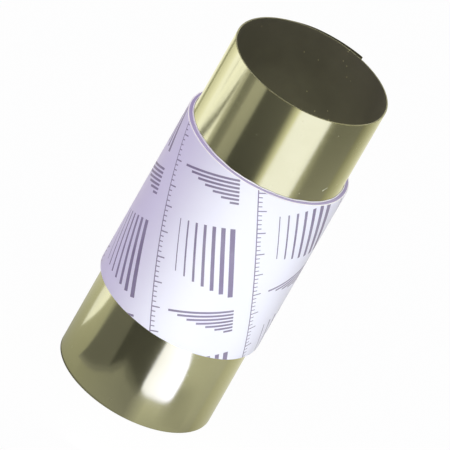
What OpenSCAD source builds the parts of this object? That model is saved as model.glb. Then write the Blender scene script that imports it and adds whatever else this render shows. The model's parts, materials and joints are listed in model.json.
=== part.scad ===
// Shim stock roll: a coil of thin brass strip, standing on its end, held wound by a short paperboard sleeve.
// Millimetres, +Z up along the coil's axis, origin at the middle of the coil's lower end.

/* [Strip] */
// Width of the strip, which is the height of the coil
strip_width = 152.4; // [100:0.1:305]
// Length of strip wound into the coil
strip_length = 2540; // [600:10:3000]
// Thickness of the strip
strip_thickness = 0.05; // [0.03:0.005:0.25]

/* [Coil] */
// Outside diameter of the wound coil
coil_d = 64; // [40:0.5:120]
// How far every second turn sits back from the two ends of the coil
turn_setback = 0.12; // [0.02:0.01:0.5]
// Where the sprung outer end of the strip leaves the coil, turned about the axis from +X
tail_angle = 123; // [0:1:359]
// Arc of strip that has sprung off the coil, about the arc's own middle
tail_sweep = 52; // [30:1:75]
// Part of that arc at its root that still lies on the coil, with no gap behind it
tail_root = 18; // [12:1:24]
// How much larger the sprung end's radius is than the coil's
tail_spring = 4.7; // [2:0.1:8]
// Height of coil beside the sleeve where the outer turn is still held down
tail_held = 3; // [1:0.5:10]

/* [Sleeve] */
// Length of the sleeve along the coil
sleeve_length = 76.2; // [20:0.1:130]
// How far the middle of the sleeve sits above the middle of the coil
sleeve_rise = 1; // [-4:0.1:4]
// Thickness of the sleeve's wall
sleeve_wall = 2.1; // [1:0.1:5]
// Gap between the coil and the bore of the sleeve
sleeve_clearance = 0.1; // [0.05:0.01:0.3]
// Radius of the sleeve's outer edges, crushed round by the cut
sleeve_edge_r = 0.5; // [0.1:0.05:0.6]
// Bevel at the ends of the sleeve's bore
sleeve_bore_bevel = 0.2; // [0.05:0.05:0.3]

/* [Hidden] */

$fn = 180;

coil_r = coil_d / 2;
// Wound tight, the strip fills the coil's ring-shaped end: ring area = strip length x thickness
bore_r = sqrt(coil_r * coil_r - strip_length * strip_thickness / PI);
turns = max(1, round((coil_r - bore_r) / strip_thickness));
turn_pitch = (coil_r - bore_r) / turns;

sleeve_bore_r = coil_r + sleeve_clearance;
sleeve_r = sleeve_bore_r + sleeve_wall;
sleeve_z = (strip_width - sleeve_length) / 2 + sleeve_rise;
// Bare coil below and above the sleeve
bare_low = sleeve_z;
bare_high = strip_width - sleeve_z - sleeve_length;
// Arc over which the free part of the sprung end runs into its root
tail_lap = 2;

// Chords in the quarter circle of each rounded sleeve edge
edge_steps = 6;

// Radius of the inside of turn i, counted from the bore
function turn_r(i) = bore_r + i * turn_pitch;

// How far the edge of turn i lies inside the end of the coil
function setback(i) = i % 2 == 0 ? 0 : turn_setback;

// Points of a quarter circle about [r, z], from start_angle on
function quarter(r, z, radius, start_angle) = [
    for (i = [0 : edge_steps])
        let (a = start_angle + i * 90 / edge_steps)
            [r + radius * cos(a), z + radius * sin(a)]
];

// Section through the wound wall, with the edge of each turn showing on both ends
module wall_section() {
    lower = [for (i = [0 : turns - 1]) each [[turn_r(i), setback(i)], [turn_r(i + 1), setback(i)]]];
    upper = [for (i = [turns - 1 : -1 : 0]) each [
        [turn_r(i + 1), strip_width - setback(i)],
        [turn_r(i), strip_width - setback(i)]
    ]];
    polygon(concat(lower, upper));
}

// Part of the sprung end's arc, between two angles counted from where it leaves the coil. Its inside lies at
// inner_r about the arc's own middle.
module tail_arc(from, to, inner_r, height) {
    outer_r = coil_r + tail_spring + strip_thickness / 2;
    translate([-tail_spring, 0])
        rotate(-to)
            rotate_extrude(angle = to - from)
                translate([inner_r, 0])
                    square([outer_r - inner_r, height]);
}

// Free end of the outer turn, opened to a larger radius: it leaves the coil along its tangent and runs
// clockwise seen from above. Its root is let into the outer turn by half the strip's thickness.
module tail(z, height) {
    rotate(tail_angle)
        translate([0, 0, z]) {
            tail_arc(tail_root - tail_lap, tail_sweep, coil_r + tail_spring - strip_thickness / 2, height);
            difference() {
                tail_arc(0, tail_root, coil_r, height);
                translate([0, 0, -1])
                    cylinder(r = coil_r - strip_thickness / 2, h = height + 2);
            }
        }
}

module shim_coil() {
    color([0.80, 0.77, 0.47]) {
        union() {
            rotate_extrude() wall_section();
            tail(0, bare_low - tail_held);
            tail(strip_width - bare_high + tail_held, bare_high - tail_held);
        }
    }
}

// Section through the sleeve: round outer edges, bevelled bore
module sleeve_section() {
    outer_r = sleeve_r - sleeve_edge_r;
    polygon(concat(
        [[sleeve_bore_r + sleeve_bore_bevel, 0]],
        quarter(outer_r, sleeve_edge_r, sleeve_edge_r, -90),
        quarter(outer_r, sleeve_length - sleeve_edge_r, sleeve_edge_r, 0),
        [
            [sleeve_bore_r + sleeve_bore_bevel, sleeve_length],
            [sleeve_bore_r, sleeve_length - sleeve_bore_bevel],
            [sleeve_bore_r, sleeve_bore_bevel]
        ]
    ));
}

module sleeve() {
    color([0.85, 0.82, 0.92])
        translate([0, 0, sleeve_z])
            rotate_extrude() sleeve_section();
}

shim_coil();
sleeve();
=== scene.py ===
"""Shim stock roll: thin brass strip wound into an open coil, with a printed paperboard sleeve round it.

The settings groups hold the sizes and colours, each operator makes one piece or the stage, and main()
calls the operators in order. Lengths are metres in the part's own frame: +Z runs up the coil's axis, and
the camera stands on the -Y side.
"""

import json
import math

import bpy
import numpy as np
from bpy.props import FloatProperty, FloatVectorProperty, IntProperty, PointerProperty
from mathutils import Matrix, Vector


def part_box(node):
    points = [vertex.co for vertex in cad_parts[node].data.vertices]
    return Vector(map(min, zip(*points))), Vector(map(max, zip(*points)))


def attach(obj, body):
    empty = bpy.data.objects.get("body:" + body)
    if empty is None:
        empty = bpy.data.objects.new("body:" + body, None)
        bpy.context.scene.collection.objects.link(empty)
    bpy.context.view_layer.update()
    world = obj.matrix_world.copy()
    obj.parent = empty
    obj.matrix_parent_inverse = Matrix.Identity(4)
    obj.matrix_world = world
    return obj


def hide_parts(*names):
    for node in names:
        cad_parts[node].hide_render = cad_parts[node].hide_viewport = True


bl_info = {
    "name": "Shim stock roll",
    "version": (1, 0, 0),
    "blender": (4, 5, 0),
    "location": "View3D > Sidebar > Shim roll",
    "description": "Winds a coil of brass shim strip, puts its paperboard sleeve on and sets the stage",
    "category": "Object",
}

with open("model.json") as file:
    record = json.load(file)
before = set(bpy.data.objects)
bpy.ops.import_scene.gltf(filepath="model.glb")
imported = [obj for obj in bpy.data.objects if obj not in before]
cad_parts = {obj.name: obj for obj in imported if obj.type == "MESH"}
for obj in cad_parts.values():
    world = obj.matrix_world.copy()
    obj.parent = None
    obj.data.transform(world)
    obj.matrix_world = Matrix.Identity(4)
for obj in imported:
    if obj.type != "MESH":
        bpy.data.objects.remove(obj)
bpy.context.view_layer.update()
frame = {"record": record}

MM = 0.001
TURN = 2.0 * math.pi
BODY = "root"
COIL_NODE = "shim_coil"
SLEEVE_NODE = "sleeve"

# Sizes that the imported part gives
COIL_LOW, COIL_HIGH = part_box(COIL_NODE)
SLEEVE_LOW, SLEEVE_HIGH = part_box(SLEEVE_NODE)
COIL_R = (COIL_HIGH.x - COIL_LOW.x) / 2
COIL_H = COIL_HIGH.z
SLEEVE_R = (SLEEVE_HIGH.x - SLEEVE_LOW.x) / 2
MOUNTS = {mount["name"]: mount for mount in frame["record"]["mounts"]}
BORE_R = MOUNTS["coil_bore"]["dims"]["r_mm"] * MM

# How finely the surfaces are divided
STEPS_PER_TURN = 240
BARE_ROWS = 8
SLEEVE_STEPS = 360
SLEEVE_ROWS = 24
EDGE_STEPS = 8
CARD_STEPS = 24
CARD_ROW_STEPS = 8

# Share of the pitch that the strip's thickness fills, with a film of air in the rest
STRIP_FILL = 0.9
# Share of the free part over which the strip comes loose
LOOSE_RUN = 0.4
# Radians that the waves along the strip's lower and upper edge turn for each radian of winding
LOW_EDGE_WAVE = 0.37
HIGH_EDGE_WAVE = 0.43
# Crease across the upper end: its angle at the top, how it slants with depth, and its width
CREASE_ANGLE = math.radians(-136)
CREASE_SLANT = math.radians(0.17) / MM
CREASE_WIDTH = math.radians(2.5)

# Scratch above the sleeve: its first and last angle from the camera's side, its height at the first one, its
# rise, half its width, and the share of its length that is twice as wide
SCRATCH_FROM = math.radians(54.0)
SCRATCH_TO = math.radians(57.5)
SCRATCH_LOW = 120.3 * MM
SCRATCH_RISE = 1.4 * MM
SCRATCH_HALF_WIDTH = 0.13 * MM
SCRATCH_WIDE_SHARE = 0.3

# Upper end of the sleeve: points of its outline, how far the board rises at the liner as a share of the
# liner's rise, and the height and place of the burr as shares of the bore's bevel
UPPER_END_POINTS = 5
BOARD_RISE = 0.5
BURR_HEIGHT = 0.75
BURR_PLACE = 0.7
# Share by which the liner rises more on the left and less on the right, and less in front and behind
LINER_LEFT = 0.4
LINER_FRONT = 0.3
# Depth below each cut end over which its wander and lean fade out
CUT_REACH = 4 * MM

# Waves round the axis, each as (number of crests, share, phase)
COIL_WAVES = ((2, 1.0, 0.7), (3, 0.5, -0.4))
FRAY_WAVES = ((9, 0.08, 1.0), (17, 0.06, 2.0), (29, 0.05, 0.0))
HIGH_CUT_WAVES = ((2, 0.5, 1.0), (5, 0.3, 0.0), (11, 0.2, 2.0))
LOW_CUT_WAVES = ((3, 0.5, -0.5), (7, 0.3, 1.0), (13, 0.2, 0.0))

# Stage: half the floor's side, the share of its look that glows, the even light of the world, how far the
# camera sees as a multiple of its distance, and the gap between one card and the next
FLOOR_HALF = 6.0
GLOW_SHARE = 0.97
EVEN_COLOUR = (0.86, 0.77, 1.0)
EVEN_STRENGTH = 0.25
CLIP_REACH = 4
CARD_GAP = 0.01 * MM


# Settings

class CoilSettings(bpy.types.PropertyGroup):
    """Sizes and finish of the wound brass strip."""

    strip_thickness: FloatProperty(
        name="Strip thickness", description="Thickness of the strip, and so the pitch of its turns",
        default=0.05 * MM, min=0.01 * MM, unit="LENGTH", precision=6,
    )
    edge_scatter: FloatProperty(
        name="Edge scatter", description="How far the edges of the turns wander inside the coil's ends",
        default=0.12 * MM, min=0.0, unit="LENGTH", precision=6,
    )
    end_angle: FloatProperty(
        name="End angle", description="Where the strip's outer end lies, about the axis from +X",
        default=math.radians(65.2), subtype="ANGLE",
    )
    free_angle: FloatProperty(
        name="Free angle", description="How much of the last turn has sprung off the coil",
        default=math.radians(58), min=0.1, subtype="ANGLE",
    )
    free_lift: FloatProperty(
        name="Free lift", description="How far the outer end stands off the coil at the coil's two ends",
        default=1.8 * MM, min=0.0, unit="LENGTH", precision=5,
    )
    loose_share: FloatProperty(
        name="Loose share",
        description="Share of the free lift that the strip has along most of its free part",
        default=0.4, min=0.0, max=1.0, subtype="FACTOR",
    )
    out_of_round: FloatProperty(
        name="Out of round", description="How far the bare ends of the coil depart from a circle",
        default=0.08 * MM, min=0.0, unit="LENGTH", precision=6,
    )
    crease_depth: FloatProperty(
        name="Crease depth", description="Depth of the faint crease where the strip was handled",
        default=0.06 * MM, min=0.0, unit="LENGTH", precision=6,
    )
    brass_colour: FloatVectorProperty(
        name="Brass", description="Colour that the bright strip reflects",
        default=(0.80, 0.775, 0.42), subtype="COLOR", min=0.0, max=1.0,
    )
    tarnish_colour: FloatVectorProperty(
        name="Tarnish", description="Colour of the strip where handling has dulled it",
        default=(0.70, 0.665, 0.34), subtype="COLOR", min=0.0, max=1.0,
    )
    # Painted shade: a dark colour put on the strip's inner faces to stand for the shade inside the bore
    bore_shade_colour: FloatVectorProperty(
        name="Bore", description="Colour of the strip's inner face, which has gone dark",
        default=(0.135, 0.13, 0.09), subtype="COLOR", min=0.0, max=1.0,
    )
    scratch_colour: FloatVectorProperty(
        name="Scratch", description="Colour of the bare metal in a scratch",
        default=(0.85, 0.83, 0.62), subtype="COLOR", min=0.0, max=1.0,
    )
    roughness: FloatProperty(
        name="Roughness", description="Roughness of the rolled surface",
        default=0.135, min=0.0, max=1.0, subtype="FACTOR",
    )


class SleeveSettings(bpy.types.PropertyGroup):
    """Sizes and finish of the paperboard sleeve."""

    wall: FloatProperty(
        name="Wall", description="Thickness of the sleeve's wall",
        default=2.1 * MM, min=0.2 * MM, unit="LENGTH", precision=5,
    )
    edge_radius: FloatProperty(
        name="Edge radius", description="Radius of the outer edges, crushed round by the cut",
        default=0.2 * MM, min=0.0, unit="LENGTH", precision=5,
    )
    bore_bevel: FloatProperty(
        name="Bore bevel", description="Bevel at the ends of the bore",
        default=0.2 * MM, min=0.0, unit="LENGTH", precision=5,
    )
    cut_wander: FloatProperty(
        name="Cut wander", description="How far the cut ends wander from flat",
        default=0.14 * MM, min=0.0, unit="LENGTH", precision=6,
    )
    cut_slant: FloatProperty(
        name="Cut slant", description="How far the tube was cut out of square", default=math.radians(1.0),
        subtype="ANGLE",
    )
    outer_ply: FloatProperty(
        name="Outer ply", description="Thickness of the white printed ply",
        default=0.45 * MM, min=0.0, unit="LENGTH", precision=5,
    )
    liner_ply: FloatProperty(
        name="Liner", description="Thickness of the white ply that lines the bore",
        default=0.27 * MM, min=0.0, unit="LENGTH", precision=5,
    )
    liner_rise: FloatProperty(
        name="Liner rise", description="How far the liner has slid out of the upper end",
        default=0.85 * MM, min=0.0, unit="LENGTH", precision=5,
    )
    paper_colour: FloatVectorProperty(
        name="Paper", description="Colour of the coated outer ply",
        default=(0.82, 0.79, 0.95), subtype="COLOR", min=0.0, max=1.0,
    )
    raw_colour: FloatVectorProperty(
        name="Raw paper", description="Colour of the liner and of the outer ply's cut edge",
        default=(1.0, 0.98, 1.0), subtype="COLOR", min=0.0, max=1.0,
    )
    board_colour: FloatVectorProperty(
        name="Board", description="Colour of the board that shows on the cut ends",
        default=(0.49, 0.43, 0.65), subtype="COLOR", min=0.0, max=1.0,
    )
    # Painted shadow: a dark ring on the bore's bevel that stands for the shadow in the gap between sleeve and
    # coil
    bevel_shadow_colour: FloatVectorProperty(
        name="Crushed edge", description="Colour of the crushed edge of the bore",
        default=(0.10, 0.09, 0.08), subtype="COLOR", min=0.0, max=1.0,
    )
    ink_colour: FloatVectorProperty(
        name="Ink", description="Colour of the printed gauge marks",
        default=(0.20, 0.15, 0.28), subtype="COLOR", min=0.0, max=1.0,
    )
    print_slant: FloatProperty(
        name="Print slant", description="Angle between the printed columns and the axis",
        default=math.radians(24), subtype="ANGLE",
    )
    print_columns: IntProperty(
        name="Print columns", description="Columns of gauge marks round the sleeve", default=5, min=1,
    )


class StageSettings(bpy.types.PropertyGroup):
    """Camera, light and floor."""

    camera_elevation: FloatProperty(
        name="Camera elevation", description="How far the camera looks down", default=math.radians(28.3),
        subtype="ANGLE",
    )
    camera_roll: FloatProperty(
        name="Camera roll", description="How far the picture is turned", default=math.radians(29.8),
        subtype="ANGLE",
    )
    camera_distance: FloatProperty(
        name="Camera distance", description="From the camera to the middle of the roll", default=7.0,
        min=0.5, unit="LENGTH",
    )
    frame_width: FloatProperty(
        name="Frame width", description="Width of the picture at the middle of the roll",
        default=170.6 * MM, min=10 * MM, unit="LENGTH", precision=5,
    )
    frame_offset: FloatVectorProperty(
        name="Frame offset", description="Sidestep and rise of the camera in its own plane",
        default=(0.60 * MM, 0.26 * MM), size=2, unit="LENGTH", precision=6,
    )
    floor_colour: FloatVectorProperty(
        name="Floor", description="Colour of the floor", default=(0.75, 0.75, 0.75), subtype="COLOR",
        min=0.0, max=1.0,
    )


# Mesh helpers

def smooth_step(value):
    """Runs from 0 to 1 as the value does, level at both ends: 3 v^2 - 2 v^3."""
    share = np.clip(value, 0.0, 1.0)
    return share * share * (3.0 - 2.0 * share)


def waves(angle, terms):
    """Sum of cosine waves round the axis: share cos(crests angle + phase) for each term."""
    return sum(share * np.cos(crests * angle + phase) for crests, share, phase in terms)


def grid_faces(rows, columns, wrap_rows=False, wrap_columns=False):
    """Quads of a grid whose point (i, j) has index i * columns + j. A wrapped direction joins its last line
    to its first."""
    i = np.arange(rows if wrap_rows else rows - 1)
    j = np.arange(columns if wrap_columns else columns - 1)
    i, j = np.meshgrid(i, j, indexing="ij")
    i_next = (i + 1) % rows
    j_next = (j + 1) % columns
    corners = (i * columns + j, i * columns + j_next, i_next * columns + j_next, i_next * columns + j)
    return np.stack([corner.ravel() for corner in corners], axis=1)


def mesh_object(name, points, faces, smooth, material):
    """An object at the origin, made of points, quads (m, 4) and a smooth flag for each quad or for all."""
    mesh = bpy.data.meshes.new(name)
    mesh.from_pydata(points.reshape(-1, 3).tolist(), [], faces.tolist())
    smooth = np.full(len(faces), smooth)
    mesh.polygons.foreach_set("use_smooth", smooth)
    corner_edges = np.empty(len(mesh.loops), np.int32)
    mesh.loops.foreach_get("edge_index", corner_edges)
    sharp = np.zeros(len(mesh.edges), bool)
    sharp[corner_edges.reshape(-1, 4)[~smooth].ravel()] = True
    mesh.edges.foreach_set("use_edge_sharp", sharp)
    mesh.materials.append(material)
    mesh.update()
    made = bpy.data.objects.new(name, mesh)
    bpy.context.scene.collection.objects.link(made)
    return made


# The coil's surface

def strip_rows():
    """Heights of the points across the strip: evenly spaced where it is bare, with one long step under the
    sleeve."""
    lower = np.linspace(0.0, SLEEVE_LOW.z, BARE_ROWS)
    upper = np.linspace(SLEEVE_HIGH.z, COIL_H, BARE_ROWS)
    return np.concatenate([lower, upper])


def bare_share(height):
    """How bare the coil is at a height: 0 under the sleeve, rising smoothly to 1 at the coil's two ends."""
    above = (height - SLEEVE_HIGH.z) / (COIL_H - SLEEVE_HIGH.z)
    below = (SLEEVE_LOW.z - height) / SLEEVE_LOW.z
    return smooth_step(np.maximum(above, below))


def coil_unevenness(settings, angle, height):
    """Radial change that all the turns share, so that they stay nested: a two-lobed and a three-lobed wave
    round the coil, and a narrow bell-shaped crease that slants across the bare upper end."""
    lobes = waves(angle, COIL_WAVES)
    crease_line = CREASE_ANGLE - (COIL_H - height) * CREASE_SLANT
    off_line = np.angle(np.exp(1j * (angle - crease_line)))
    crease = np.exp(-(off_line / CREASE_WIDTH) ** 2) * (height > SLEEVE_HIGH.z)
    return bare_share(height) * (settings.out_of_round * lobes - settings.crease_depth * crease)


def coil_surface(settings):
    """The whole wound strip as a closed thin solid.

    Seen from above, the middle of the strip is a spiral of even pitch that runs clockwise outwards: with a
    the angle still to come before the outer end, the angle is end_angle + a and the radius is the coil's
    outside less half a thickness less one thickness for each turn in a. Each step of the spiral carries a
    loop of points, up the outer face and down the inner face. Over the last free_angle f the strip lifts off
    by free_lift times how bare the coil is at that height. A part of that, the loose share, comes soon after
    the root, and the rest opens like an arc of larger radius: (1 - cos(f - a)) / (1 - cos f). The edge of
    each turn is set in from the coil's ends by a slow wave along the strip.
    """
    pitch = settings.strip_thickness
    turns = (COIL_R - BORE_R - pitch) / pitch
    step = TURN / STEPS_PER_TURN
    to_come = step * np.arange(math.floor(turns * STEPS_PER_TURN), -1, -1)[:, None]
    angle = settings.end_angle + to_come
    radius = COIL_R - pitch / 2 - pitch * to_come / TURN

    rows = strip_rows()
    height = np.concatenate([rows, rows[::-1]])[None, :]
    side = np.repeat([0.5, -0.5], len(rows))[None, :] * STRIP_FILL * pitch

    sprung = np.maximum(settings.free_angle - to_come, 0.0)
    loose = smooth_step(sprung / (LOOSE_RUN * settings.free_angle))
    opened = (1.0 - np.cos(sprung)) / (1.0 - math.cos(settings.free_angle))
    lift_along = settings.loose_share * loose + (1.0 - settings.loose_share) * opened
    lift = settings.free_lift * lift_along * bare_share(height)
    radius = radius + side + lift + coil_unevenness(settings, angle, height)

    set_in_low = settings.edge_scatter * (0.5 - 0.5 * np.cos(LOW_EDGE_WAVE * to_come))
    set_in_high = settings.edge_scatter * (0.5 - 0.5 * np.cos(HIGH_EDGE_WAVE * to_come))
    share_up = height / COIL_H
    height = height + set_in_low * (1.0 - share_up) - set_in_high * share_up

    return np.stack([radius * np.cos(angle), radius * np.sin(angle), height], axis=2)


def coil_faces(steps, loop):
    """Quads along the strip and across its two cut ends, with a smooth flag for those of its broad faces."""
    rows = loop // 2
    along = grid_faces(steps, loop, wrap_columns=True)
    place = np.tile(np.arange(loop), steps - 1)
    broad = (place != rows - 1) & (place != loop - 1)
    k = np.arange(rows - 1)
    first_end = np.stack([k, loop - 1 - k, loop - 2 - k, k + 1], axis=1)
    last_end = first_end[:, ::-1] + (steps - 1) * loop
    faces = np.concatenate([along, first_end, last_end])
    smooth = np.concatenate([broad, np.zeros(2 * len(k), bool)])
    return faces, smooth


# The sleeve's surface

def quarter_circle(radius, height, size, start):
    """Points of a quarter circle of that size about (radius, height), from the start angle on."""
    angle = math.radians(start) + np.linspace(0.0, TURN / 4, EDGE_STEPS)
    return np.stack([radius + size * np.cos(angle), height + size * np.sin(angle)], axis=1)


def sleeve_outline(settings):
    """Closed outline of the sleeve's wall as rows of (radius, height, share of the liner's rise): along the
    lower end, up the printed outside, along the upper end and down the bore. The outer edges are quarter
    circles and the bore's are bevels. At the upper end the board slopes up to the liner, which stands above
    it and has a small burr along its inner edge."""
    low, high = SLEEVE_LOW.z, SLEEVE_HIGH.z
    bore = SLEEVE_R - settings.wall
    edge = settings.edge_radius
    bevel = settings.bore_bevel
    liner = bore + bevel + settings.liner_ply
    outside = np.linspace(low + edge, high - edge, SLEEVE_ROWS)[1:-1]
    wall = np.concatenate([
        [[bore + bevel, low]],
        quarter_circle(SLEEVE_R - edge, low + edge, edge, -90),
        np.stack([np.full(len(outside), SLEEVE_R), outside], axis=1),
        quarter_circle(SLEEVE_R - edge, high - edge, edge, 0),
    ])
    burr = BURR_HEIGHT * bevel
    upper_end = [
        [liner, high, BOARD_RISE], [liner, high, 1.0], [bore + bevel, high, 1.0],
        [bore + BURR_PLACE * bevel, high + burr, 1.0], [bore, high + burr - bevel, 1.0],
    ]
    return np.concatenate([np.pad(wall, ((0, 0), (0, 1))), upper_end, [[bore, low + bevel, 0.0]]])


def sleeve_surface(settings):
    """The outline carried once round the axis. The cut at each end leans by the slant across the tube and
    wanders by a sum of waves, and both fade out a few millimetres from the end. The liner's rise is
    1 - left cos(angle) - front sin(angle)^2, so it stands out furthest on the left, and its edge is frayed by
    short waves."""
    outline = sleeve_outline(settings)
    angle = np.linspace(0.0, TURN, SLEEVE_STEPS, endpoint=False)[:, None]
    radius = outline[None, :, 0]
    height = outline[None, :, 1]
    proud = 1.0 - LINER_LEFT * np.cos(angle) - LINER_FRONT * np.sin(angle) ** 2 + waves(angle, FRAY_WAVES)
    rise = settings.liner_rise * proud * outline[None, :, 2]
    near_high = smooth_step((height - SLEEVE_HIGH.z + CUT_REACH) / CUT_REACH)
    near_low = smooth_step((SLEEVE_LOW.z + CUT_REACH - height) / CUT_REACH)
    lean = -radius * np.cos(angle) * math.tan(settings.cut_slant) * (near_high + near_low)
    wander = waves(angle, HIGH_CUT_WAVES) * near_high + waves(angle, LOW_CUT_WAVES) * near_low
    height = height + rise + lean + settings.cut_wander * wander
    return np.stack([radius * np.cos(angle), radius * np.sin(angle), height], axis=2)


def sleeve_faces(steps, loop):
    """Quads round the sleeve, with a smooth flag for each. The lower end, the steps of the upper end and the
    bore's lower bevel, which joins the outline's last point to its first, are left sharp."""
    faces = grid_faces(steps, loop, wrap_rows=True, wrap_columns=True)[:, ::-1]
    round_part = np.ones(loop, bool)
    round_part[0] = False
    round_part[-UPPER_END_POINTS - 2:-2] = False
    round_part[-1] = False
    return faces, np.tile(round_part, steps)


# Shader helpers

def feed(tree, socket, value):
    """Links an output to the socket, or sets the socket's own value."""
    if isinstance(value, bpy.types.NodeSocket):
        tree.links.new(value, socket)
    else:
        socket.default_value = value


def node(tree, kind, **inputs):
    """A new node, with the named inputs fed; an underscore stands for a space in a socket's name."""
    made = tree.nodes.new(kind)
    for name, value in inputs.items():
        feed(tree, made.inputs[name.replace("_", " ")], value)
    return made


def calc(tree, operation, *values):
    """Output of a Math node."""
    made = tree.nodes.new("ShaderNodeMath")
    made.operation = operation
    for socket, value in zip(made.inputs, values):
        feed(tree, socket, value)
    return made.outputs[0]


def between(tree, value, low, high):
    """1 where the value lies between low and high, otherwise 0."""
    above = calc(tree, "GREATER_THAN", value, low)
    below = calc(tree, "LESS_THAN", value, high)
    return calc(tree, "MULTIPLY", above, below)


def mixed(tree, factor, first, second):
    """Colour that goes from the first to the second as the factor goes from 0 to 1."""
    made = tree.nodes.new("ShaderNodeMix")
    made.data_type = "RGBA"
    # The node has sockets of every kind under the same names, so those for colours are chosen by number
    for index, value in ((0, factor), (6, first), (7, second)):
        feed(tree, made.inputs[index], value)
    return made.outputs[2]


def opaque(colour):
    """Red, green and blue of a colour setting, with an alpha of 1."""
    return (*colour, 1.0)


def new_group(name, inputs, outputs):
    """A shader node group with those sockets: its tree, the inputs' sockets and the outputs' node."""
    tree = bpy.data.node_groups.new(name, "ShaderNodeTree")
    for socket_name, kind in inputs:
        tree.interface.new_socket(socket_name, in_out="INPUT", socket_type=kind)
    for socket_name, kind in outputs:
        tree.interface.new_socket(socket_name, in_out="OUTPUT", socket_type=kind)
    return tree, tree.nodes.new("NodeGroupInput").outputs, tree.nodes.new("NodeGroupOutput")


def place_group(tree, group, **inputs):
    """Puts a node group into a material and feeds its inputs."""
    made = tree.nodes.new("ShaderNodeGroup")
    made.node_tree = group
    for name, value in inputs.items():
        feed(tree, made.inputs[name.replace("_", " ")], value)
    return made.outputs


def clouds_group():
    """Soft uneven patches: a noise of the given scale, spread out to run from 0 to 1."""
    name = "soft_clouds"
    if name in bpy.data.node_groups:
        return bpy.data.node_groups[name]
    tree, inputs, output = new_group(
        name,
        [("Vector", "NodeSocketVector"), ("Scale", "NodeSocketFloat")],
        [("Share", "NodeSocketFloat")],
    )
    noise = node(tree, "ShaderNodeTexNoise", Vector=inputs["Vector"], Scale=inputs["Scale"], Detail=4.0)
    spread = node(tree, "ShaderNodeMapRange", Value=noise.outputs[0], From_Min=0.3, From_Max=0.7)
    feed(tree, output.inputs["Share"], spread.outputs[0])
    return tree


def specks_group():
    """Sparse round specks: the middles of some cells of a Voronoi pattern, chosen by the cell's colour."""
    name = "fine_specks"
    if name in bpy.data.node_groups:
        return bpy.data.node_groups[name]
    tree, inputs, output = new_group(
        name,
        [("Vector", "NodeSocketVector"), ("Scale", "NodeSocketFloat"), ("Size", "NodeSocketFloat"),
         ("Share of cells", "NodeSocketFloat")],
        [("Mask", "NodeSocketFloat")],
    )
    cells = node(tree, "ShaderNodeTexVoronoi", Vector=inputs["Vector"], Scale=inputs["Scale"])
    choice = node(tree, "ShaderNodeSeparateColor", Color=cells.outputs["Color"])
    near = calc(tree, "LESS_THAN", cells.outputs["Distance"], inputs["Size"])
    chosen = calc(tree, "LESS_THAN", choice.outputs[0], inputs["Share of cells"])
    feed(tree, output.inputs["Mask"], calc(tree, "MULTIPLY", near, chosen))
    return tree


def new_material(name):
    """A node material with a bare Principled shader; returns the material, its tree and the shader."""
    material = bpy.data.materials.new(name)
    material.use_nodes = True
    tree = material.node_tree
    shader = next(n for n in tree.nodes if n.type == "BSDF_PRINCIPLED")
    return material, tree, shader


# Finishes

def scratch_mask(tree, place):
    """Mask of one short scratch above the sleeve. Its line rises evenly from its first angle to its last, and
    a point is in it where its height is within half a width of the line; the first part of it is twice as
    wide."""
    part = node(tree, "ShaderNodeSeparateXYZ", Vector=place).outputs
    angle = calc(tree, "ARCTAN2", part["X"], calc(tree, "MULTIPLY", part["Y"], -1.0))
    along = calc(tree, "DIVIDE", calc(tree, "SUBTRACT", angle, SCRATCH_FROM), SCRATCH_TO - SCRATCH_FROM)
    line = calc(tree, "MULTIPLY_ADD", along, SCRATCH_RISE, SCRATCH_LOW)
    off_line = calc(tree, "ABSOLUTE", calc(tree, "SUBTRACT", part["Z"], line))
    wide_part = calc(tree, "LESS_THAN", along, SCRATCH_WIDE_SHARE)
    reach = calc(tree, "MULTIPLY_ADD", wide_part, SCRATCH_HALF_WIDTH, SCRATCH_HALF_WIDTH)
    in_length = between(tree, along, 0.0, 1.0)
    in_width = calc(tree, "LESS_THAN", off_line, reach)
    return calc(tree, "MULTIPLY", in_length, in_width)


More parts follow.
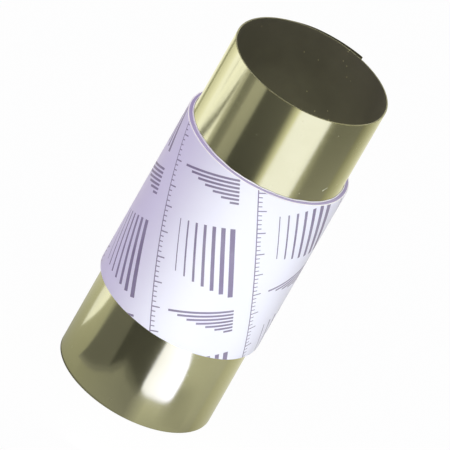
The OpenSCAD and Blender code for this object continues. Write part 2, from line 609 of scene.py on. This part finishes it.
def brass_finish(settings):
    """Bright rolled brass: fine lines along the strip's length, soft tarnish clouds, a few dull specks and
    one pale scratch. The strip's inner faces, stored as the attribute "inside", are dull and painted dark
    as the shade inside the coil, mottled by the clouds, with a few bright specks."""
    line_stretch = 60.0
    tarnish_share = 0.35
    bore_shade_mottle = 1.3
    speck_shine = 0.6
    line_roughness = 0.06
    cloud_roughness = 0.03
    speck_roughness = 0.2
    inside_roughness = 0.3
    inside_dullness = 0.5
    scratch_dullness = 0.8

    material, tree, shader = new_material("rolled_brass")
    place = node(tree, "ShaderNodeTexCoord").outputs["Object"]
    stretched = node(tree, "ShaderNodeMapping", Vector=place, Scale=(1.0, 1.0, line_stretch)).outputs[0]
    lines = node(tree, "ShaderNodeTexNoise", Vector=stretched, Scale=60.0, Detail=3.0).outputs[0]
    clouds = place_group(tree, clouds_group(), Vector=place, Scale=55.0)["Share"]
    specks = place_group(
        tree, specks_group(), Vector=place, Scale=480.0, Size=0.11, Share_of_cells=0.08,
    )["Mask"]
    attribute = node(tree, "ShaderNodeAttribute")
    attribute.attribute_name = "inside"
    inside = attribute.outputs["Fac"]

    brass = opaque(settings.brass_colour)
    tarnish = calc(tree, "MULTIPLY", clouds, tarnish_share)
    bright = mixed(tree, tarnish, brass, opaque(settings.tarnish_colour))
    # Painted shade of the bore: the inner faces are coloured dark, mottled a little paler by the clouds
    paler_bore_shade = tuple(bore_shade_mottle * c for c in settings.bore_shade_colour)
    dark = mixed(tree, clouds, opaque(settings.bore_shade_colour), opaque(paler_bore_shade))
    dark = mixed(tree, calc(tree, "MULTIPLY", specks, speck_shine), dark, brass)
    scratch = calc(tree, "MULTIPLY", scratch_mask(tree, place), calc(tree, "SUBTRACT", 1.0, inside))
    bright = mixed(tree, scratch, bright, opaque(settings.scratch_colour))
    feed(tree, shader.inputs["Base Color"], mixed(tree, inside, bright, dark))
    rough = calc(tree, "MULTIPLY_ADD", lines, line_roughness, settings.roughness - line_roughness / 2)
    rough = calc(tree, "MULTIPLY_ADD", clouds, cloud_roughness, rough)
    rough = calc(tree, "MULTIPLY_ADD", specks, speck_roughness, rough)
    feed(tree, shader.inputs["Roughness"], calc(tree, "MULTIPLY_ADD", inside, inside_roughness, rough))
    metal = calc(tree, "MULTIPLY_ADD", inside, -inside_dullness, 1.0)
    feed(tree, shader.inputs["Metallic"], calc(tree, "MULTIPLY_ADD", scratch, -scratch_dullness, metal))
    bump = node(tree, "ShaderNodeBump", Height=lines, Strength=0.02, Distance=0.02 * MM)
    feed(tree, shader.inputs["Normal"], bump.outputs[0])
    return material


def gauge_print(tree, settings, angle, height):
    """Mask of the printed gauge marks, in columns that slant round the sleeve.

    On the unrolled sleeve, with arc the distance round it, across = arc cos(slant) + height sin(slant) and
    along = arc sin(slant) - height cos(slant), in millimetres. Each column of equal width across holds a
    ruled scale, a set of bars of rising thickness and a stepped stack of plates, repeated along the column;
    the columns are staggered.
    """
    slant_cos = math.cos(settings.print_slant)
    slant_sin = math.sin(settings.print_slant)
    columns = settings.print_columns
    column_arc = TURN * SLEEVE_R / columns / MM
    column_width = column_arc * slant_cos
    repeat = 58.0

    arc = calc(tree, "MULTIPLY", angle, SLEEVE_R / MM)
    rise = calc(tree, "MULTIPLY", height, 1.0 / MM)
    across = calc(
        tree, "ADD", calc(tree, "MULTIPLY", arc, slant_cos), calc(tree, "MULTIPLY", rise, slant_sin),
    )
    along = calc(
        tree, "SUBTRACT", calc(tree, "MULTIPLY", arc, slant_sin), calc(tree, "MULTIPLY", rise, slant_cos),
    )
    column = calc(tree, "FLOOR", calc(tree, "DIVIDE", across, column_width))
    across = calc(tree, "SUBTRACT", across, calc(tree, "MULTIPLY", column, column_width))
    stagger = 2 * repeat / columns
    shift = stagger - column_arc * slant_sin
    along = calc(tree, "MULTIPLY_ADD", column, shift, along)
    along = calc(tree, "FLOORED_MODULO", along, repeat)

    # Ruled scale: a base line with short ticks and, at every fifth, a longer and wider one
    scale_edge = 2.0
    line_width = 0.45
    tick_pitch = 2.0
    tick_width = 0.4
    tick_end = 3.9
    long_pitch = 5 * tick_pitch
    long_width = 0.5
    long_end = 5.6
    base_line = between(tree, across, scale_edge, scale_edge + line_width)
    tick = calc(tree, "LESS_THAN", calc(tree, "FLOORED_MODULO", along, tick_pitch), tick_width)
    long_tick = calc(tree, "LESS_THAN", calc(tree, "FLOORED_MODULO", along, long_pitch), long_width)
    short_ticks = calc(tree, "MULTIPLY", tick, between(tree, across, scale_edge, tick_end))
    long_ticks = calc(tree, "MULTIPLY", long_tick, between(tree, across, scale_edge, long_end))
    scale = calc(tree, "MAXIMUM", base_line, calc(tree, "MAXIMUM", short_ticks, long_ticks))

    # Bars of rising thickness, each a little longer than the one before
    bar_pitch = 3.6
    first_bar = 9.0
    bars = 7
    thin_half = 0.2
    half_growth = 0.13
    bar_start = 3.0
    short_end = 24.0
    end_growth = 1.6
    bar_place = calc(tree, "DIVIDE", calc(tree, "SUBTRACT", across, first_bar), bar_pitch)
    bar = calc(tree, "FLOOR", bar_place)
    off_middle = calc(tree, "ABSOLUTE", calc(tree, "SUBTRACT", calc(tree, "SUBTRACT", bar_place, bar), 0.5))
    half_thickness = calc(tree, "MULTIPLY_ADD", bar, half_growth / bar_pitch, thin_half / bar_pitch)
    bar_end = calc(tree, "MULTIPLY_ADD", bar, end_growth, short_end)
    in_thickness = calc(tree, "LESS_THAN", off_middle, half_thickness)
    in_bar = calc(tree, "MULTIPLY", in_thickness, between(tree, along, bar_start, bar_end))
    in_set = between(tree, across, first_bar, first_bar + bars * bar_pitch)
    bar_mask = calc(tree, "MULTIPLY", in_bar, in_set)

    # Stack of thin plates: one more plate for each bar
    plate_pitch = 1.6
    plate_width = 0.9
    stack_start = 40.0
    stair = calc(tree, "MULTIPLY_ADD", bar, plate_pitch, stack_start + plate_pitch)
    plate = calc(tree, "LESS_THAN", calc(tree, "FLOORED_MODULO", along, plate_pitch), plate_width)
    in_stair = calc(tree, "MULTIPLY", between(tree, along, stack_start, stair), in_set)
    stack = calc(tree, "MULTIPLY", in_stair, plate)

    return calc(tree, "MAXIMUM", scale, calc(tree, "MAXIMUM", bar_mask, stack))


def board_finish(settings):
    """Layered paperboard: a coated white outer ply with violet gauge marks, grey-violet board on the cut
    ends, a white liner in the bore and a dark shadow painted on the bore's bevel. The layer follows from
    the distance to the axis."""
    thin_ink = 0.86
    ink_patches = 0.12
    inner_shade = 0.85
    film = 0.02 * MM
    shadow_start = 0.01 * MM
    shadow_share = 0.95
    paper_roughness = 0.45
    board_roughness = 0.4
    cloud_roughness = 0.06
    coat_weight = 0.2

    material, tree, shader = new_material("printed_board")
    place = node(tree, "ShaderNodeTexCoord").outputs["Object"]
    part = node(tree, "ShaderNodeSeparateXYZ", Vector=place).outputs
    angle = calc(tree, "ARCTAN2", part["Y"], part["X"])
    radius = calc(tree, "SQRT", calc(tree, "ADD", calc(tree, "MULTIPLY", part["X"], part["X"]),
                                     calc(tree, "MULTIPLY", part["Y"], part["Y"])))
    clouds = place_group(tree, clouds_group(), Vector=place, Scale=90.0)["Share"]

    # Printed outer ply
    marks = gauge_print(tree, settings, angle, part["Z"])
    ink = calc(tree, "MULTIPLY", marks, calc(tree, "MULTIPLY_ADD", clouds, ink_patches, thin_ink))
    printed = mixed(tree, ink, opaque(settings.paper_colour), opaque(settings.ink_colour))

    # Rings of the cut ends from the bore out: painted shadow on the bevel, white liner, board, outer ply
    bore = SLEEVE_R - settings.wall
    board_in = bore + settings.bore_bevel + settings.liner_ply + film
    board_out = SLEEVE_R - settings.outer_ply
    fibres = node(tree, "ShaderNodeTexNoise", Vector=place, Scale=1500.0, Detail=3.0).outputs[0]
    depth = node(tree, "ShaderNodeMapRange", Value=radius, From_Min=board_in, From_Max=board_out)
    dark_board = tuple(inner_shade * c for c in settings.board_colour)
    board = mixed(tree, depth.outputs[0], opaque(dark_board), opaque(settings.board_colour))
    in_board = between(tree, radius, board_in, board_out)
    outside = calc(tree, "GREATER_THAN", radius, SLEEVE_R - film)
    on_bevel_shadow = between(tree, radius, bore + shadow_start, bore + shadow_share * settings.bore_bevel)
    layered = mixed(tree, outside, opaque(settings.raw_colour), printed)
    layered = mixed(tree, in_board, layered, board)
    feed(tree, shader.inputs["Base Color"], mixed(tree, on_bevel_shadow, layered, opaque(settings.bevel_shadow_colour)))

    rough = calc(tree, "MULTIPLY_ADD", in_board, board_roughness, paper_roughness)
    feed(tree, shader.inputs["Roughness"], calc(tree, "MULTIPLY_ADD", clouds, cloud_roughness, rough))
    feed(tree, shader.inputs["Coat Weight"], calc(tree, "MULTIPLY", outside, coat_weight))
    shader.inputs["Coat Roughness"].default_value = 0.18
    bump = node(tree, "ShaderNodeBump", Height=fibres, Strength=0.06, Distance=0.05 * MM)
    feed(tree, shader.inputs["Normal"], bump.outputs[0])
    return material


# Stage

def seen_directly(tree):
    """1 for rays from the camera and for those that mirror or glass send on, otherwise 0."""
    path = node(tree, "ShaderNodeLightPath").outputs
    shiny = calc(tree, "MAXIMUM", path["Is Glossy Ray"], path["Is Transmission Ray"])
    return calc(tree, "MAXIMUM", path["Is Camera Ray"], shiny)


def floor_finish(settings):
    """White floor: a pale matt surface that takes the shadow, and a plain white glow for most of its look."""
    material = bpy.data.materials.new("white_floor")
    material.use_nodes = True
    tree = material.node_tree
    tree.nodes.clear()
    matt = node(tree, "ShaderNodeBsdfDiffuse", Color=opaque(settings.floor_colour))
    glow = node(tree, "ShaderNodeEmission", Color=(1.0, 1.0, 1.0, 1.0), Strength=1.0)
    share = calc(tree, "MULTIPLY", seen_directly(tree), GLOW_SHARE)
    both = node(tree, "ShaderNodeMixShader")
    for index, value in enumerate((share, matt.outputs[0], glow.outputs[0])):
        feed(tree, both.inputs[index], value)
    node(tree, "ShaderNodeOutputMaterial", Surface=both.outputs[0])
    return material


def card_finish():
    """Card that glows by the tone stored at each of its points."""
    material = bpy.data.materials.new("card_tone")
    material.use_nodes = True
    tree = material.node_tree
    tree.nodes.clear()
    tone = node(tree, "ShaderNodeAttribute")
    tone.attribute_name = "tone"
    glow = node(tree, "ShaderNodeEmission", Color=tone.outputs["Color"], Strength=1.0)
    node(tree, "ShaderNodeOutputMaterial", Surface=glow.outputs[0])
    return material


# Cards that lie round the roll and show only in its shine. Each has a tint at its left and at its right
# border. Each of its rows says where the brass shows it: a height on the coil in millimetres, the card's left
# and right borders there in degrees from the camera's side, and the tone at both borders.
PLAIN = (1.0, 1.0, 1.04)
MILD = (1.0, 1.0, 0.98)
WARM = (1.0, 0.99, 0.93)
AMBER = (1.0, 0.995, 0.92)
STRAW = (1.0, 0.99, 0.84)
OCHRE = (1.0, 0.99, 0.70)
DUSK = (1.0, 1.0, 1.12)
PALE = (1.0, 1.01, 1.20)
COOL = (1.0, 1.02, 1.42)
WHITE = (1.0, 1.02, 1.65)
BRIGHT = (1.0, 1.02, 1.90)
CARDS = [
    ("contact_shade", PLAIN, PLAIN, [(-3, -90, 4, 0.05, 0.25), (0.8, -90, 4, 0.05, 0.25)]),
    ("table_left", STRAW, MILD, [
        (0.7, -90, -42, 0.35, 0.32), (37, -90, -38, 0.66, 0.43), (100, -90, -38, 1.10, 0.43),
        (330, -90, -38, 1.10, 0.43),
    ]),
    ("table_front", MILD, DUSK, [
        (0.7, -42, 4, 0.32, 0.25), (9, -42, 4, 0.31, 0.22), (330, -42, 4, 0.31, 0.22),
    ]),
    ("table_glow", DUSK, PLAIN, [
        (-3, 4, 14, 0.25, 0.40), (8, 4, 14, 0.24, 0.48), (330, 4, 14, 0.24, 0.50),
    ]),
    ("table_right", PLAIN, PLAIN, [
        (-3, 14, 58, 0.40, 0.30), (8, 14, 58, 0.52, 0.40), (37, 14, 58, 0.53, 0.47),
        (100, 14, 58, 0.22, 0.33), (150, 14, 58, 0.14, 0.20), (330, 14, 58, 0.14, 0.20),
    ]),
    ("table_edge", WARM, STRAW, [
        (-3, 58, 90, 0.30, 0.66), (8, 58, 90, 0.40, 0.69), (37, 58, 90, 0.47, 0.86), (60, 58, 90, 0.47, 0.86),
    ]),
    ("table_rim", STRAW, STRAW, [
        (60, 58, 90, 0.33, 1.0), (118, 58, 90, 0.30, 0.98), (150, 58, 90, 0.20, 0.97),
        (330, 58, 90, 0.20, 0.97),
    ]),
    ("right_shade_near", PLAIN, PLAIN, [
        (2, 26, 34, 0.43, 0.38), (18, 26, 34, 0.46, 0.32), (25, 26, 34, 0.53, 0.50),
    ]),
    ("right_shade_far", PLAIN, PLAIN, [
        (2, 34, 48, 0.38, 0.34), (18, 34, 48, 0.32, 0.45), (25, 34, 48, 0.50, 0.47),
    ]),
    ("left_panel", PALE, PALE, [
        (17, -61, -60.3, 0.9, 1.0), (23.4, -61, -54.5, 0.9, 1.1), (29.4, -60.8, -50.5, 0.92, 1.1),
        (37, -60.4, -48.0, 0.92, 1.1), (100, -60, -42, 1.09, 1.12), (330, -60, -42, 1.09, 1.12),
    ]),
    ("left_slope", STRAW, PLAIN, [(90, -71, -60, 0.68, 1.03), (330, -71, -60, 0.68, 1.03)]),
    ("left_line", OCHRE, OCHRE, [(100, -77, -72.3, 0.32, 0.32), (330, -77, -72.3, 0.32, 0.32)]),
    ("left_hair", WARM, WARM, [(143, -55.0, -54.2, 0.5, 0.5), (154, -54.6, -53.0, 0.35, 0.35)]),
    ("left_streak", WARM, WARM, [
        (108, -56.8, -50.4, 0.05, 0.05), (122, -51.6, -45.8, 0.05, 0.05), (130, -48.7, -44.0, 0.09, 0.09),
        (140, -46.2, -42.7, 0.12, 0.12), (153, -45.2, -42.0, 0.36, 0.30),
    ]),
    ("left_shade", PLAIN, PLAIN, [
        (36, -39, -20, 0.16, 0.155), (100, -42, -20, 0.34, 0.25), (120, -42, -20, 0.45, 0.27),
        (152, -42, -20, 0.45, 0.41), (330, -42, -20, 0.45, 0.41),
    ]),
    ("left_seam", PLAIN, PLAIN, [(100, -38.4, -31.0, 0.16, 0.22), (330, -38.4, -31.4, 0.16, 0.30)]),
    ("front_haze_left", DUSK, DUSK, [
        (7.8, -46.5, -34, 0.25, 0.25), (9.2, -46, -27, 0.21, 0.21), (13.0, -43.8, -18, 0.21, 0.18),
        (22, -41.6, -18, 0.21, 0.16), (37.5, -39.6, -18, 0.21, 0.16),
    ]),
    ("front_haze_right", DUSK, DUSK, [
        (12.6, -22, -17, 0.19, 0.20), (19.2, -22, -10.5, 0.15, 0.16), (19.6, -22, 6.2, 0.14, 0.14),
        (37, -22, 6.2, 0.14, 0.14),
    ]),
    ("front_haze_foot", DUSK, DUSK, [
        (10.8, 4, 6.6, 0.20, 0.20), (12.8, 0, 6.6, 0.17, 0.17), (14.6, -5.5, 6.6, 0.16, 0.15),
        (19.6, -13, 6.6, 0.15, 0.14),
    ]),
    ("front_shade_left", DUSK, DUSK, [
        (9.8, -45.0, -37, 0.15, 0.15), (11.0, -44.6, -30, 0.14, 0.14), (15.0, -42.6, -20, 0.14, 0.14),
        (22, -40.8, -20, 0.14, 0.14), (37.5, -38.8, -20, 0.14, 0.14),
    ]),
    ("front_shade_right", DUSK, DUSK, [
        (15.2, -20.6, -20, 0.07, 0.07), (21.6, -20.6, -12.5, 0.06, 0.06), (21.8, -20.6, 3, 0.06, 0.08),
        (100, -21, 2.2, 0.06, 0.06), (152, -21, 1.2, 0.08, 0.12), (330, -21, 1.2, 0.08, 0.12),
    ]),
    ("front_shade_foot", DUSK, DUSK, [
        (14.0, 4, 6.0, 0.10, 0.10), (20.2, -8, 6.0, 0.07, 0.08), (22.0, -12.4, 6.0, 0.06, 0.08),
        (37, 2, 6.0, 0.07, 0.12),
    ]),
    ("panel_fringe", AMBER, AMBER, [
        (100, 2.4, 7.6, 0.07, 0.94), (120, 2.3, 7.6, 0.08, 0.94), (152, 0.4, 7.4, 0.16, 0.94),
        (330, 0.4, 7.4, 0.16, 0.94),
    ]),
    ("panel_tail", AMBER, PLAIN, [
        (100, 30, 38, 0.56, 0.23), (120, 30, 37.5, 0.48, 0.22), (150, 30, 35, 0.30, 0.17),
        (330, 30, 35, 0.30, 0.17),
    ]),
    ("right_window", WHITE, BRIGHT, [
        (11.9, 11.5, 24, 1.0, 1.0), (12.7, 9, 27.5, 1.15, 1.5), (13.9, 7.1, 29.3, 1.2, 1.6),
        (16.6, 6.1, 29.9, 1.2, 1.65), (23.8, 6.1, 29.9, 1.2, 1.65), (31.8, 6.1, 28.3, 1.2, 1.65),
        (36.6, 6.1, 25, 1.2, 1.65), (50, 6.1, 26, 1.2, 1.5),
    ]),
    ("right_panel", COOL, COOL, [
        (50, 7.2, 26, 1.09, 1.12), (100, 7.2, 29.9, 1.09, 1.12), (330, 7.2, 29.9, 1.09, 1.12),
    ]),
]


def card_surface(settings, rows, lift):
    """Flat card on the floor, placed by its mirror image in the brass, and the tone at each of its points.

    A line of sight that falls at the camera's elevation and meets the coil at angle a and height h goes on
    from there towards 2 a and down to the floor. So the floor point lies R towards a, plus h / tan(elevation)
    towards 2 a. The rows are joined by straight lines, and u runs from the left border to the right one.
    """
    place = np.linspace(0, len(rows) - 1, CARD_ROW_STEPS * (len(rows) - 1) + 1)
    columns = np.array(rows, float).T
    height, left, right, tone_left, tone_right = (
        np.interp(place, np.arange(len(rows)), column)[:, None] for column in columns
    )
    u = np.linspace(0.0, 1.0, CARD_STEPS)[None, :]
    angle = np.radians(left + (right - left) * u)
    reach = height * MM / math.tan(settings.camera_elevation)
    across = COIL_R * np.sin(angle) + reach * np.sin(2.0 * angle)
    away = COIL_R * np.cos(angle) + reach * np.cos(2.0 * angle)
    points = np.stack([across, -away, np.full(across.shape, lift)], axis=2)
    return points, tone_left + (tone_right - tone_left) * u


def lay_card(name, points, tones, material):
    """A card that only shiny rays see, with its tone stored at each point."""
    rows, columns = points.shape[:2]
    card = mesh_object(name, points, grid_faces(rows, columns), False, material)
    stored = card.data.attributes.new("tone", "FLOAT_COLOR", "POINT")
    stored.data.foreach_set("color", tones.astype(np.float32).ravel())
    card.visible_camera = False
    card.visible_diffuse = False
    card.visible_shadow = False
    card.visible_transmission = False


def lay_cards(settings):
    """All the cards, each a little above the one before."""
    material = card_finish()
    u = np.linspace(0.0, 1.0, CARD_STEPS)[None, :, None]
    for index, (name, left_tint, right_tint, rows) in enumerate(CARDS):
        points, tone = card_surface(settings, rows, (index + 1) * CARD_GAP)
        tint = np.array(left_tint) * (1.0 - u) + np.array(right_tint) * u
        tones = np.ones((*tone.shape, 4))
        tones[:, :, :3] = tone[:, :, None] * tint
        lay_card(name, points, tones, material)


def lay_floor(settings):
    """Square floor that the roll stands on."""
    corners = np.array([[[-1.0, -1.0, 0.0], [1.0, -1.0, 0.0]], [[-1.0, 1.0, 0.0], [1.0, 1.0, 0.0]]])
    floor = mesh_object("floor", FLOOR_HALF * corners, grid_faces(2, 2), False, floor_finish(settings))


# Lamps: for each its name, the point on the axis that it faces as a share of the coil's height, its azimuth
# and elevation in degrees, its distance, width and height, its power in watts and its colour
STRIP_SIZE = (20 * MM, 150 * MM)
STRIP_DISTANCE = 70 * MM
SOFT_SIZE = (1.0, 1.0)
SOFT_DISTANCE = 1.4
LAMPS = [
    ("left_strip", 0.5, 0, 0, STRIP_DISTANCE, STRIP_SIZE, 0.0262, (0.89, 1.0, 0.79)),
    ("right_strip", 0.5, 53, 0, STRIP_DISTANCE, STRIP_SIZE, 0.0292, (0.87, 0.98, 0.80)),
    ("top_lamp", 0.5, 0, 80, SOFT_DISTANCE, SOFT_SIZE, 11.0, (0.92, 0.90, 1.0)),
    ("fill_lamp", 0.5, -90, 20, SOFT_DISTANCE, SOFT_SIZE, 4.4, (0.92, 0.78, 1.0)),
    ("back_lamp", 0.5, 165, 20, SOFT_DISTANCE, SOFT_SIZE, 6.0, (0.92, 1.0, 0.84)),
    ("bore_lamp", 1.0, 0, -90, 135 * MM, (BORE_R, BORE_R), 0.22, (1.0, 1.0, 0.95)),
]


def area_lamp(name, target, azimuth, elevation, distance, size, power, colour):
    """Soft lamp of that width and height that points at the target and doesn't show itself. The azimuth
    counts from the camera's side to the right."""
    data = bpy.data.lights.new(name, "AREA")
    data.shape = "RECTANGLE"
    data.size, data.size_y = size
    data.energy = power
    data.color = colour
    lamp = bpy.data.objects.new(name, data)
    bpy.context.scene.collection.objects.link(lamp)
    turn, rise = math.radians(azimuth), math.radians(elevation)
    away = Vector((math.sin(turn) * math.cos(rise), -math.cos(turn) * math.cos(rise), math.sin(rise)))
    lamp.location = target + away * distance
    lamp.rotation_euler = (-away).to_track_quat("-Z", "Y").to_euler()
    lamp.visible_camera = False
    lamp.visible_glossy = False


def set_world():
    """White all round for the camera and in shine, and a soft even light on everything else."""
    world = bpy.data.worlds.new("studio")
    bpy.context.scene.world = world
    world.use_nodes = True
    tree = world.node_tree
    tree.nodes.clear()
    even = node(tree, "ShaderNodeBackground", Color=opaque(EVEN_COLOUR), Strength=EVEN_STRENGTH)
    white = node(tree, "ShaderNodeBackground", Color=(1.0, 1.0, 1.0, 1.0), Strength=1.0)
    both = node(tree, "ShaderNodeMixShader")
    for index, value in enumerate((seen_directly(tree), even.outputs[0], white.outputs[0])):
        feed(tree, both.inputs[index], value)
    node(tree, "ShaderNodeOutputWorld", Surface=both.outputs[0])


def set_camera(settings):
    """Long-lens camera on the -Y side, raised, then rolled about its own line of sight."""
    data = bpy.data.cameras.new("camera")
    data.lens = data.sensor_width * settings.camera_distance / settings.frame_width
    data.clip_end = CLIP_REACH * settings.camera_distance
    camera = bpy.data.objects.new("camera", data)
    bpy.context.scene.collection.objects.link(camera)
    rise = settings.camera_elevation
    away = Vector((0.0, -math.cos(rise), math.sin(rise)))
    turned = (-away).to_track_quat("-Z", "Y").to_matrix() @ Matrix.Rotation(settings.camera_roll, 3, "Z")
    sidestep = turned @ Vector((*settings.frame_offset, 0.0))
    place = Vector((0.0, 0.0, COIL_H / 2)) + away * settings.camera_distance + sidestep
    camera.matrix_world = Matrix.Translation(place) @ turned.to_4x4()
    bpy.context.scene.camera = camera


# Operators

class WindCoil(bpy.types.Operator):
    """Winds the brass strip into the coil and springs its outer end"""

    bl_idname = "shim_roll.wind_coil"
    bl_label = "Wind the coil"

    def execute(self, context):
        settings = context.scene.shim_coil
        points = coil_surface(settings)
        steps, loop = points.shape[:2]
        faces, smooth = coil_faces(steps, loop)
        coil = mesh_object("wound_strip", points, faces, smooth, brass_finish(settings))
        # Marks the strip's inner faces, which the brass finish paints dark as shade
        inside = np.tile(np.arange(loop) >= loop // 2, steps).astype(np.float32)
        coil.data.attributes.new("inside", "FLOAT", "POINT").data.foreach_set("value", inside)
        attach(coil, BODY)
        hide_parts(COIL_NODE)
        return {"FINISHED"}


class MakeSleeve(bpy.types.Operator):
    """Makes the printed paperboard sleeve"""

    bl_idname = "shim_roll.make_sleeve"
    bl_label = "Make the sleeve"

    def execute(self, context):
        settings = context.scene.shim_sleeve
        points = sleeve_surface(settings)
        steps, loop = points.shape[:2]
        faces, smooth = sleeve_faces(steps, loop)
        sleeve = mesh_object("board_sleeve", points, faces, smooth, board_finish(settings))
        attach(sleeve, BODY)
        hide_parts(SLEEVE_NODE)
        sleeve.visible_glossy = False
        return {"FINISHED"}


class SetStage(bpy.types.Operator):
    """Sets the camera, the floor, the cards and the lamps"""

    bl_idname = "shim_roll.set_stage"
    bl_label = "Set the stage"

    def execute(self, context):
        settings = context.scene.shim_stage
        context.scene.view_settings.view_transform = "Standard"
        lay_floor(settings)
        lay_cards(settings)
        set_world()
        for name, share, *lamp in LAMPS:
            area_lamp(name, Vector((0.0, 0.0, share * COIL_H)), *lamp)
        set_camera(settings)
        return {"FINISHED"}


class ShimRollPanel(bpy.types.Panel):
    """Lists the settings and the steps that make the roll"""

    bl_idname = "SHIMROLL_PT_steps"
    bl_label = "Shim stock roll"
    bl_space_type = "VIEW_3D"
    bl_region_type = "UI"
    bl_category = "Shim roll"

    def draw(self, context):
        for step, group in STEPS:
            box = self.layout.box()
            settings = getattr(context.scene, group)
            for name in settings.__annotations__:
                box.prop(settings, name)
            box.operator(step.bl_idname)


SETTINGS = {"shim_coil": CoilSettings, "shim_sleeve": SleeveSettings, "shim_stage": StageSettings}
STEPS = [(WindCoil, "shim_coil"), (MakeSleeve, "shim_sleeve"), (SetStage, "shim_stage")]
CLASSES = [*SETTINGS.values(), *(step for step, _ in STEPS), ShimRollPanel]


def register():
    """Adds the classes and hangs each settings group on the scene."""
    for made in CLASSES:
        bpy.utils.register_class(made)
    for name, group in SETTINGS.items():
        setattr(bpy.types.Scene, name, PointerProperty(type=group))


def unregister():
    """Takes the settings groups and the classes away again."""
    for name in SETTINGS:
        delattr(bpy.types.Scene, name)
    for made in reversed(CLASSES):
        bpy.utils.unregister_class(made)


def main():
    """Makes every piece and the stage."""
    register()
    bpy.ops.shim_roll.wind_coil()
    bpy.ops.shim_roll.make_sleeve()
    bpy.ops.shim_roll.set_stage()


if __name__ == "__main__":
    main()
